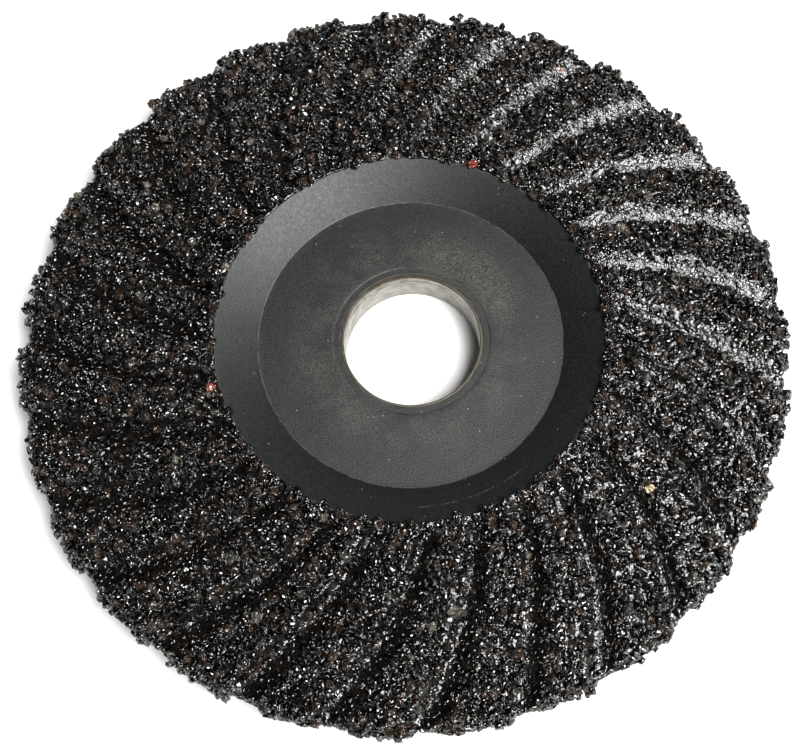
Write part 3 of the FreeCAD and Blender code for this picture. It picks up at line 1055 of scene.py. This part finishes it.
@dataclass
class BackSkin:
    """The back moulding: the boss that seats on the grinder's flange and the plate round it."""

    form: DiscForm
    columns: int = 432

    def section(self) -> Array:
        """Work out the back skin's section.

        Returns:
            The closed section, with the plate, the boss and the flange's recess.
        """
        form = self.form
        rim, seat = form.plate_radius, form.seat_radius
        top_rim = form.crest_height(rim) - form.back_skin_drop
        low_rim = form.crest_height(rim) - form.plate_drop
        out = np.linspace(seat, form.shoulder_radius, 12)
        top_wall = np.stack([out, form.wall_height(out, form.back_skin_drop)], axis=-1)
        back = out[::-1]
        low_wall = np.stack([back, form.wall_height(back, form.plate_drop)], axis=-1)
        inner, flange = form.layer_bore, form.flange_radius + 0.02
        boss = form.back_seat_radius
        corners = [Corner(inner, form.hub_front - form.back_skin_drop, 0.0, 2.0)]
        corners += [Corner(*place, 0.0, 1.0) for place in top_wall.tolist()]
        corners[-1] = Corner(*top_wall[-1].tolist(), 0.0, 1.8)
        corners += [
            Corner(rim, top_rim, 0.0, 0.3),
            Corner(rim, low_rim, 0.22, 1.8, 5),
        ]
        corners += [Corner(*place, 0.0, 1.0) for place in low_wall.tolist()]
        corners += [
            Corner(boss + form.boss_draft_run, form.hub_front - form.plate_drop, 0.5, 0.7, 6),
            Corner(boss, 0.0, 0.28, 1.2, 5),
            Corner(flange, 0.0, 0.08, 0.3),
            Corner(flange, form.flange_thickness, 0.0, 1.5),
            Corner(inner, form.flange_thickness, 0.0, 1.5),
        ]
        return rounded_section(corners)

    def build(self, finish: Material) -> None:
        """Turn the section about the bore.

        Args:
            finish: the back's material.
        """
        section = self.section()
        angle = once_round(self.columns)
        places = polar_places(section[:, :1], angle, section[:, 1:])
        stand_for(closed_piece("back_skin", places), finish, Slot.PHENOLIC, "back_moulding")


@dataclass
class ResinCoat:
    """The make coat over the ribs and round the rim, and the surface that the grains sit on."""

    form: DiscForm
    columns: int = 810
    face_spacing: float = 0.46
    corner_round: float = 0.75
    edge_wander: float = 0.36
    pooling: float = 0.07
    bead_run: float = 0.5
    frame_step: float = 0.3
    face_places: int = 66
    length: Array = field(init=False)
    outline: Array = field(init=False)

    def __post_init__(self) -> None:
        """Work out the coat's outline over the face, round the rim's corner and down its side."""
        form = self.form
        start = form.shoulder_radius - 0.1
        turn_start = form.rim_radius - self.corner_round
        crest = form.crest_height(form.rim_radius) + form.coat_thickness
        face = np.linspace(start, turn_start, self.face_places)
        over = np.stack([face, form.crest_height(face) + form.coat_thickness], axis=-1)
        bend = np.linspace(0.0, math.pi / 2, 9)[1:]
        corner = np.stack([
            turn_start + self.corner_round * np.sin(bend),
            crest - self.corner_round * (1.0 - np.cos(bend)),
        ], axis=-1)
        fall = np.linspace(corner[-1, 1], form.coat_hem + 0.12, 9)[1:]
        side = np.stack([np.full(8, form.rim_radius), fall], axis=-1)
        side[-1, 0] -= 0.06
        self.outline = np.concatenate([over, corner, side])
        steps = np.linalg.norm(np.diff(self.outline, axis=0), axis=1)
        self.length = np.concatenate([[0.0], np.cumsum(steps)])

    @property
    def face_length(self) -> float:
        """Return the outline's length over the face, up to the rim's corner."""
        return self.length[self.face_places - 1]

    def places(self, along: Array, angle: Array) -> Array:
        """Return places on the coat, from the length along its outline and the angle.

        The outline gives the radius and the crest's height. The groove's depth comes off the
        height in full on the face, and in proportion to the height above the hem on the side.

        Args:
            along: lengths along the outline from the inner edge.
            angle: angles, in radians.

        Returns:
            The places, with x, y and z last.
        """
        radius = np.interp(along, self.length, self.outline[:, 0])
        height = np.interp(along, self.length, self.outline[:, 1])
        hem = self.form.coat_hem
        top = self.form.crest_height(radius) + self.form.coat_thickness
        share = np.clip((height - hem) / (top - hem), 0.0, 1.0)
        depth = self.form.groove(radius, angle)
        return polar_places(radius, angle, height - depth * share)

    def frames(self, along: Array, angle: Array) -> tuple[Array, Array]:
        """Return places on the coat with their frames.

        A frame's rows are the direction outward along the outline, the one across it, and the
        outward normal: differences of the surface over a short step each way.

        Args:
            along: lengths along the outline.
            angle: angles, in radians.

        Returns:
            The places and the frames, three unit vectors each.
        """
        step = self.frame_step
        turn = step / self.form.shoulder_radius
        out = self.places(along + step, angle) - self.places(along - step, angle)
        side = self.places(along, angle + turn) - self.places(along, angle - turn)
        normal = unit(np.cross(out, side))
        out = unit(out)
        return self.places(along, angle), np.stack([out, np.cross(normal, out), normal], axis=-2)

    def build(self, resin: Material) -> None:
        """Make the coat as one closed skin.

        The outer rows follow the outline, with smooth random pooling along the height. The inner
        rows come back along the moulding. The inner edge wanders in and out, and the skin
        thickens from it as a rounded bead.

        Args:
            resin: the coat's material.
        """
        form = self.form
        total = self.length[-1]
        angle = once_round(self.columns)
        rows = math.ceil(self.face_length / self.face_spacing)
        along = np.concatenate([
            np.array([0.0, 0.08, 0.2, 0.38]),
            np.linspace(0.6, self.face_length, rows),
            np.linspace(self.face_length, total, 18)[1:],
        ])
        edge = polar_places(form.shoulder_radius, angle, 0.0)
        wander = wave_field(edge, 1.5, seed=31) * self.edge_wander - 0.1
        fade = 1.0 - smooth_step(along, 0.3, 2.4)
        reach = along[:, None] + wander * fade[:, None]
        outer = self.places(reach, angle)
        pool = wave_field(outer, 0.75, seed=33) * self.pooling
        rise = np.sqrt(1.0 - (1.0 - np.clip(along / self.bead_run, 0.0, 1.0)) ** 2)
        outer[..., 2] += pool * rise[:, None] - form.coat_thickness * (1.0 - rise[:, None])
        under_along = np.concatenate([
            np.linspace(self.face_length - 0.2, 3.0, 16),
            np.array([1.2, 0.4, 0.15]),
        ])
        under = self.places(under_along[:, None] + 0.0 * angle, angle)
        under[..., 2] -= form.coat_thickness - 0.01
        hem = form.coat_hem
        corner_depth = form.groove(np.full(self.columns, form.plate_radius), angle)
        corner_top = form.crest_height(form.plate_radius) - corner_depth
        joint = [
            polar_places(form.rim_radius - 0.2, angle, hem),
            polar_places(form.plate_radius + 0.01, angle, hem + 0.03),
            polar_places(form.plate_radius + 0.01, angle, hem + 0.5 * (corner_top - hem)),
            polar_places(form.plate_radius + 0.01, angle, corner_top),
        ]
        piece = closed_piece("resin_coat", np.concatenate([outer, np.stack(joint), under]))
        stand_for(piece, resin, Slot.RESIN, "bond_coat")


@dataclass(frozen=True)
class GrainTint:
    """A colour that a share of the grains has, and how rough those grains are."""

    colour: Colour
    share: float
    roughness: float


GRAIN_TINTS = (
    GrainTint((0.0005, 0.0004, 0.0004), 0.50, 0.11),
    GrainTint((0.0036, 0.0022, 0.0014), 0.28, 0.15),
    GrainTint((0.0220, 0.0120, 0.0065), 0.16, 0.20),
    GrainTint((0.0260, 0.0225, 0.0190), 0.04, 0.24),
    GrainTint((0.0900, 0.0740, 0.0580), 0.01, 0.28),
    GrainTint((0.0080, 0.0095, 0.0110), 0.01, 0.14),
)


@dataclass(frozen=True)
class OddGrain:
    """A grain that stands out by its colour, at a radius and an angle."""

    radius: float
    angle_deg: float
    colour: Colour


ODD_GRAINS = (
    OddGrain(32.2, 63.7, (0.19, 0.030, 0.018)),
    OddGrain(32.5, 189.3, (0.18, 0.045, 0.022)),
    OddGrain(45.5, 318.0, (0.55, 0.45, 0.28)),
    OddGrain(56.7, 56.0, (0.20, 0.060, 0.030)),
)


@dataclass
class GritBand:
    """The coarse grains over the face and rim, in one piece for each rib."""

    form: DiscForm
    coat: ResinCoat
    spacing: float = 1.14
    jitter: float = 0.42
    size_low: float = 1.05
    size_high: float = 1.95
    second_layer_share: float = 0.13
    crest_gain: float = 0.1
    valley_loss: float = 0.25
    valley_flatness: float = 0.55
    tint_scatter: Span = (0.7, 1.35)
    gloss_scatter: Span = (0.6, 1.3)
    # share by which valley grains are darkened: painted shade, partly also the look of pooled resin
    valley_painted_shade: float = 0.75
    pool_roughness: float = 0.14
    pool_calm: float = 0.72
    highest: float = 12.9
    columns: int = 7
    ring_rises_deg: Triple = (53.0, 14.0, -24.0)
    middle_side: Span = (0.62, 0.95)
    short_side: Span = (0.42, 0.8)
    side_scatter: Span = (0.8, 1.05)
    cuts: int = 4
    cut_reach: Span = (0.55, 0.9)
    longest: float = 1.45
    lean: float = 0.22
    edge_fray: float = 1.25
    widest: float = 62.9
    rim_stand_off: float = 0.3
    seated_lift: Span = (0.05, 0.55)
    second_lift: Span = (0.65, 1.1)
    crest_lift: float = 0.45
    valley_sink: float = 0.55
    wet_share: float = 0.45
    seed: int = 80

    def seats(self, rng: Rng) -> tuple[Array, Array]:
        """Return the grains' places on the coat, spread evenly over its area.

        Grain number k lies at the golden angle times k, at the length along the outline below
        which the area is a share of k + 0.5 out of all. Both then move by a random jitter.

        Args:
            rng: source of the random draws.

        Returns:
            The length along the outline and the angle of each grain.
        """
        length, radius = self.coat.length, self.coat.outline[:, 0]
        ring = TURN * (radius[1:] + radius[:-1]) / 2 * np.diff(length)
        area = np.concatenate([[0.0], np.cumsum(ring)])
        count = int(area[-1] / self.spacing**2)
        number = np.arange(count)
        along = np.interp((number + 0.5) / count * area[-1], area, length)
        angle = np.mod(number * GOLDEN_ANGLE, TURN)
        shift = rng.uniform(-self.jitter, self.jitter, (2, count)) * self.spacing
        along = np.maximum(along + shift[0], rng.uniform(0.0, self.edge_fray, count))
        along = np.minimum(along, length[-1] - 0.1)
        return along, angle + shift[1] / np.interp(along, length, radius)

    def directions(self, count: int, rng: Rng) -> Array:
        """Return each grain's grid of directions: a pole and three rings, a little askew.

        A direction is (cos a cos b, cos a sin b, sin a) for the ring's height angle a and the
        column's turn b, both with a random share added.

        Args:
            count: number of grains.
            rng: source of the random draws.

        Returns:
            Unit directions, grain by grain.
        """
        rise = np.radians(np.repeat(self.ring_rises_deg, self.columns))
        turn = np.tile(once_round(self.columns), 3)
        turn = turn + np.repeat([0.0, 0.5, 0.0], self.columns) * TURN / self.columns
        rise = rise + rng.uniform(-0.2, 0.2, (count, rise.size))
        turn = turn + rng.uniform(-0.26, 0.26, (count, turn.size)) + rng.uniform(0, 1, (count, 1))
        ring = np.stack([np.cos(rise) * np.cos(turn), np.cos(rise) * np.sin(turn), np.sin(rise)], -1)
        pole = unit(np.array([0.0, 0.0, 1.0]) + rng.uniform(-0.3, 0.3, (count, 1, 3)))
        return np.concatenate([pole, ring], axis=1)

    def reaches(
        self, directions: Array, half_size: Array, rng: Rng
    ) -> Array:
        """Return how far each direction goes before it leaves a broken block.

        The block is what is left between three pairs of cleavage planes and four cut corners.
        Its short way stands near the coat's normal, leaning a little at random. The reach is
        the least of plane distance over the cosine between the direction and the plane's normal.

        Args:
            directions: unit directions, grain by grain.
            half_size: half of each grain's long side.
            rng: source of the random draws.

        Returns:
            The reach of each direction.
        """
        count = len(directions)
        normal = unit(np.array([0.0, 0.0, 1.0]) + rng.normal(0.0, self.lean, (count, 3)))
        first = unit(np.cross(normal, rng.normal(size=(count, 3))))
        axes = np.stack([first, np.cross(normal, first), normal], axis=1)
        proportions = np.stack([
            np.ones(count), rng.uniform(*self.middle_side, count), rng.uniform(*self.short_side, count)
        ], axis=-1)
        sides = np.concatenate([axes, -axes], axis=1)
        side_distance = np.tile(proportions, 2) * rng.uniform(*self.side_scatter, (count, 6))
        cuts = unit(rng.normal(size=(count, self.cuts, 3)))
        cut_distance = rng.uniform(*self.cut_reach, (count, self.cuts))
        normals = np.concatenate([sides, cuts], axis=1)
        distance = np.concatenate([side_distance, cut_distance], axis=1)
        facing = np.maximum(np.einsum("gvk,gpk->gvp", directions, normals), 0.05)
        reach = (distance[:, None, :] / facing).min(axis=-1)
        return np.minimum(reach, self.longest) * half_size[:, None]

    def rib_parts(self, radius: Array, angle: Array) -> tuple[Array, Array]:
        """Return how far each place belongs to a rib's crest and to the valley past it.

        Both are smooth steps of the share of a pitch past the crest, and fade in past the
        shoulder.

        Args:
            radius: radii of the places.
            angle: their angles, in radians.

        Returns:
            The crest's share and the valley's share, between 0 and 1.
        """
        share = np.mod(self.form.rib_phase(radius, angle), 1.0)
        start = self.form.groove_start
        ribbed = smooth_step(radius, start, start + self.form.groove_run_in)
        crest = smooth_step(share, 0.84, 0.97) + 1.0 - smooth_step(share, 0.0, 0.06)
        valley = smooth_step(share, 0.05, 0.11) * (1.0 - smooth_step(share, 0.30, 0.46))
        return crest * ribbed, valley * ribbed

    def grain_faces(self) -> tuple[Array, Array, Array, Array]:
        """Work out which places each face of a grain joins.

        Returns:
            The faces of the top fan, the upper quads, the skirt quads and the bottom fan.
        """
        columns = self.columns
        column = np.arange(columns)
        following = (column + 1) % columns
        top = np.stack([np.zeros(columns, int), 1 + column, 1 + following], axis=-1)
        quads = ring_quads(5, columns, False) + 1
        last = 1 + 4 * columns
        bottom = np.stack([last + column, np.full(columns, 1 + 5 * columns), last + following], -1)
        return top, quads[: 2 * columns], quads[2 * columns :], bottom

    def lifts(
        self,
        along: Array,
        half: Array,
        parts: tuple[Array, Array],
        rng: Rng,
    ) -> tuple[Array, Array]:
        """Return how high each grain's middle stands and whether it is of the second layer.

        Both heights are random shares of half the grain's size. Grains on a crest stand higher,
        those in a valley sink, and those past the rim's corner stand off a little.

        Args:
            along: length of each grain's seat along the coat's outline.
            half: half of each grain's size.
            parts: how far each grain belongs to a crest and to a valley.
            rng: source of the random draws.

        Returns:
            The height of each grain's middle, and whether it lies on other grains.
        """
        crest, valley = parts
        count = len(along)
        second = rng.uniform(size=count) < self.second_layer_share * (1.0 + 0.6 * crest - valley)
        lift = half * rng.uniform(*self.seated_lift, count)
        lift = np.where(second, half * rng.uniform(*self.second_lift, count), lift)
        lift += half * (self.crest_lift * crest - self.valley_sink * valley)
        lift += self.rim_stand_off * (along > self.coat.face_length - 0.6)
        return lift, second

    def skirts(
        self,
        lump: Array,
        half: Array,
        lift: Array,
        second: Array,
        rng: Rng,
    ) -> Array:
        """Return the two lowest rings of each grain.

        They widen the lump's lowest ring by fixed shares and end just under the coat, as a
        skirt of resin. Grains of the second layer close below by themselves instead, with two
        shrinking rings.

        Args:
            lump: each grain's places.
            half: half of each grain's size.
            lift: height of each grain's middle.
            second: whether the grain lies on other grains.
            rng: source of the random draws.

        Returns:
            The two rings' places, grain by grain.
        """
        count = len(lump)
        neck = lump[:, -self.columns :, :]
        flat = neck[:, None, :, :2] * np.array([1.12, 1.42])[:, None, None]
        rise = rng.uniform(0.08, 0.34, (count, 1, self.columns)) * np.array([[[1.0], [0.0]]])
        rise = rise + np.array([[[0.0], [-0.12]]])
        skirt = np.concatenate([flat, rise[..., None]], axis=-1)
        own = neck[:, None, :, :] * np.array([0.7, 0.3])[:, None, None]
        own[..., 2] = lift[:, None, None] - half[:, None, None] * np.array([[[0.62], [0.75]]])
        return np.where(second[:, None, None, None], own, skirt).reshape(count, -1, 3)

    def shapes(self, rng: Rng) -> tuple[Array, Array, Array]:
        """Return all grains' places, with their rib numbers and polar seats.

        A grain is a lump of broken block, smaller and flatter in the valleys, whose lower rings
        flow into the coat. Grains past the height or radius that is kept are pulled back.

        Args:
            rng: source of the random draws.

        Returns:
            Places grain by grain, each grain's rib number, and its radius and angle.
        """
        along, angle = self.seats(rng)
        count = len(along)
        seat, axes = self.coat.frames(along, angle)
        size = self.size_low + (self.size_high - self.size_low) * rng.beta(2.0, 2.6, count)
        radius = np.hypot(seat[:, 0], seat[:, 1])
        crest, valley = self.rib_parts(radius, angle)
        half = size * (1.0 + self.crest_gain * crest - self.valley_loss * valley) / 2
        directions = self.directions(count, rng)
        lump = directions * self.reaches(directions, half, rng)[..., None]
        lump[..., 2] *= (1.0 - self.valley_flatness * valley)[:, None]
        lift, second = self.lifts(along, half, (crest, valley), rng)
        lump[..., 2] += lift[:, None]
        skirt = self.skirts(lump, half, lift, second, rng)
        base = np.zeros((count, 1, 3))
        base[:, 0, 2] = np.where(second, lift - half * 0.8, -0.3)
        local = np.concatenate([lump, skirt, base], axis=1)
        places = seat[:, None, :] + np.einsum("gvk,gkx->gvx", local, axes)
        over = places[..., 2].max(axis=1) - self.highest
        places[..., 2] -= np.maximum(over, 0.0)[:, None]
        wide = np.hypot(places[..., 0], places[..., 1]).max(axis=1)
        places[..., :2] *= np.minimum(self.widest / wide, 1.0)[:, None, None]
        rib = np.mod(np.floor(self.form.rib_phase(radius, angle)), self.form.rib_count)
        return places, rib.astype(int), np.stack([radius, np.mod(angle, TURN)], axis=-1)

    def tints(self, polar: Array, rng: Rng) -> Array:
        """Return each grain's colour, darkened in the valleys as painted shade, with its roughness as
        the fourth number.

        Args:
            polar: each grain's radius and angle.
            rng: source of the random draws.

        Returns:
            One row of four numbers per grain.
        """
        shares = np.array([tint.share for tint in GRAIN_TINTS])
        table = np.array([(*tint.colour, tint.roughness) for tint in GRAIN_TINTS])
        picked = table[rng.choice(len(table), len(polar), p=shares / shares.sum())]
        picked[:, :3] *= rng.uniform(*self.tint_scatter, (len(polar), 1))
        picked[:, 3] *= rng.uniform(*self.gloss_scatter, len(polar))
        valley = self.rib_parts(polar[:, 0], polar[:, 1])[1]
        # grains in the valleys get darker tints: painted shade of the grooves, partly also pooled resin
        picked[:, :3] *= (1.0 - self.valley_painted_shade * valley)[:, None]
        picked[:, 3] += (self.pool_roughness - picked[:, 3]) * valley
        seats = polar_places(polar[:, 0], polar[:, 1], 0.0)
        for odd in ODD_GRAINS:
            wanted = polar_places(odd.radius, math.radians(odd.angle_deg), 0.0)
            nearest = np.argmin(np.linalg.norm(seats - wanted, axis=-1))
            picked[nearest, :3] = odd.colour
        return picked

    def build(self, grit: Material) -> None:
        """Make the grains, one piece for each rib and the groove beside it.

        Args:
            grit: the grains' material.
        """
        rng = np.random.default_rng(self.seed)
        places, ribs, polar = self.shapes(rng)
        tints = self.tints(polar, rng)
        valley = self.rib_parts(polar[:, 0], polar[:, 1])[1]
        wetted = rng.uniform(size=len(places)) < self.wet_share
        bare = 1.0 - self.pool_calm * valley
        top, upper, skirt, bottom = self.grain_faces()
        per_grain = places.shape[1]
        log.info("grit: %d grains of %d places each", len(places), per_grain)
        for rib in range(self.form.rib_count):
            chosen = np.flatnonzero(ribs == rib)
            offset = (np.arange(len(chosen)) * per_grain)[:, None, None]
            triangles = [(top + offset).reshape(-1, 3), (bottom + offset).reshape(-1, 3)]
            quads = [(upper + offset).reshape(-1, 4), (skirt + offset).reshape(-1, 4)]
            soft = wetted[chosen]
            smooth = np.concatenate([
                np.repeat(soft, len(top)),
                np.ones(len(triangles[1]), bool),
                np.repeat(soft, len(upper)),
                np.ones(len(quads[1]), bool),
            ])
            name = f"grit_rib_{rib + 1:02d}"
            piece = new_piece(name, places[chosen].reshape(-1, 3), triangles + quads, smooth)
            tint = np.repeat(tints[chosen], per_grain, axis=0).astype(np.float32)
            layer = piece.data.attributes.new(TINT, "FLOAT_COLOR", "POINT")
            layer.data.foreach_set("color", tint.ravel())
            relief = np.repeat(bare[chosen], per_grain).astype(np.float32)
            layer = piece.data.attributes.new(BARE, "FLOAT", "POINT")
            layer.data.foreach_set("value", relief)
            stand_for(piece, grit, Slot.GRIT, f"grains_rib_{rib + 1:02d}")


@dataclass
class InnerLayers:
    """The cloths and the core inside the plate, which keep their CAD shape."""

    cloths: tuple[str, ...] = ("front_glass_cloth", "back_glass_cloth")
    core: str = "core_moulding"

    def dress(self, cloth: Material, moulded: Material) -> None:
        """Give the inner layers their materials.

        Args:
            cloth: material of the glass cloths.
            moulded: material of the core.
        """
        for name in self.cloths:
            dress(frame["nodes"][name], cloth)
            log.info("%s: CAD node with woven finish", name)
        dress(frame["nodes"][self.core], moulded)
        log.info("%s: CAD node with moulded finish", self.core)


# ---------------------------------------------------------------------------------------------
# Studio
# ---------------------------------------------------------------------------------------------


@dataclass
class Studio:
    """White table that sweeps up far off, a large soft light high on the right, and a dim room."""

    floor_size: float = 3.0
    floor_places: int = 61
    sweep_start: float = 0.8
    sweep_height: float = 0.34
    floor_drop: float = 0.00005
    key_elevation_deg: float = 62.5
    key_azimuth_deg: float = -34.0
    key_distance: float = 1.2
    key_size: float = 0.66
    key_power: float = 35.0
    room_light: float = 0.022

    def lay_floor(self) -> None:
        """Lay the table top under the disc: a flat sheet that sweeps up far outside the view.

        The sheet is a square grid. Its height is the far rim's height times a smooth step of
        the distance from the middle, so the background stays pale in low views.
        """
        reach = self.floor_size / 2 / MM
        count = self.floor_places
        line = np.linspace(-reach, reach, count)
        across, along = np.meshgrid(line, line)
        sweep = smooth_step(np.hypot(across, along), self.sweep_start / MM, reach)
        height = sweep * self.sweep_height / MM - self.floor_drop / MM
        places = np.stack([across, along, height], axis=-1)
        row, column = (part.ravel() for part in np.meshgrid(np.arange(count - 1), np.arange(count - 1)))
        first = row * count + column
        quads = np.stack([first, first + 1, first + count + 1, first + count], axis=-1)
        floor = new_piece("table_top", places.reshape(-1, 3), [quads])
        dress(floor, FloorFinish().make())

    def hang_light(self) -> None:
        """Hang the soft light and face it to the disc's centre."""
        rise, turn = math.radians(self.key_elevation_deg), math.radians(self.key_azimuth_deg)
        ray = Vector((math.cos(rise) * math.cos(turn), math.cos(rise) * math.sin(turn), math.sin(rise)))
        light = bpy.data.lights.new("soft_window", "AREA")
        light.shape = "SQUARE"
        light.size = self.key_size
        light.energy = self.key_power
        lamp = bpy.data.objects.new("soft_window", light)
        lamp.location = ray * self.key_distance
        lamp.rotation_euler = ray.to_track_quat("Z", "Y").to_euler()
        bpy.context.scene.collection.objects.link(lamp)

    def light_room(self) -> None:
        """Give the room an even white light."""
        world = bpy.data.worlds.new("pale_room")
        world.use_nodes = True
        back = world.node_tree.nodes["Background"]
        back.inputs["Color"].default_value = (1.0, 1.0, 1.0, 1.0)
        back.inputs["Strength"].default_value = self.room_light
        bpy.context.scene.world = world
        bpy.context.scene.view_settings.view_transform = "Standard"


@dataclass
class Viewpoint:
    """The camera: close above the disc, tilted to the near side, rolled and shifted."""

    tilt: float = 0.33405
    heading: float = -0.30177
    roll: float = 0.15859
    distance: float = 186.4
    target: Triple = (14.954, -8.574, 7.5)
    lens: float = 51.75
    sensor: float = 36.0
    shift: Span = (-0.138, 0.005)

    def place(self) -> None:
        """Make the camera and look at the target along the tilted direction."""
        lean = math.sin(self.tilt)
        side = Vector((math.sin(self.heading), -math.cos(self.heading), 0.0))
        back = side * lean + Vector((0.0, 0.0, math.cos(self.tilt)))
        rise = (Vector((0.0, 0.0, 1.0)) - back * back.z).normalized()
        right = (-back).cross(rise)
        turn_cos, turn_sin = math.cos(self.roll), math.sin(self.roll)
        x_axis = right * turn_cos + rise * turn_sin
        y_axis = rise * turn_cos - right * turn_sin
        camera = bpy.data.cameras.new("view")
        camera.lens = self.lens
        camera.sensor_width = self.sensor
        camera.shift_x, camera.shift_y = self.shift
        camera.clip_start = 0.01
        holder = bpy.data.objects.new("view", camera)
        turned = Matrix((x_axis, y_axis, back)).transposed().to_4x4()
        place = (Vector(self.target) + back * self.distance) * MM
        holder.matrix_world = Matrix.Translation(place) @ turned
        bpy.context.scene.collection.objects.link(holder)
        bpy.context.scene.camera = holder


def main() -> None:
    """Build the disc from the bore outward, then the studio round it."""
    logging.basicConfig(level=logging.INFO, format="%(name)s: %(message)s")
    form = DiscForm.from_frame()
    moulded = MouldedFinish().make()
    BoreSleeve(form).build(SteelFinish(lip_height=form.ring_front).make())
    DishedFace(form).build(moulded)
    BackSkin(form).build(BackFinish().make())
    coat = ResinCoat(form)
    coat.build(ResinFinish().make())
    GritBand(form, coat).build(GritFinish().make())
    InnerLayers().dress(ClothFinish().make(), moulded)
    studio = Studio()
    studio.lay_floor()
    studio.hang_light()
    studio.light_room()
    Viewpoint().place()


if __name__ == "__main__":
    main()
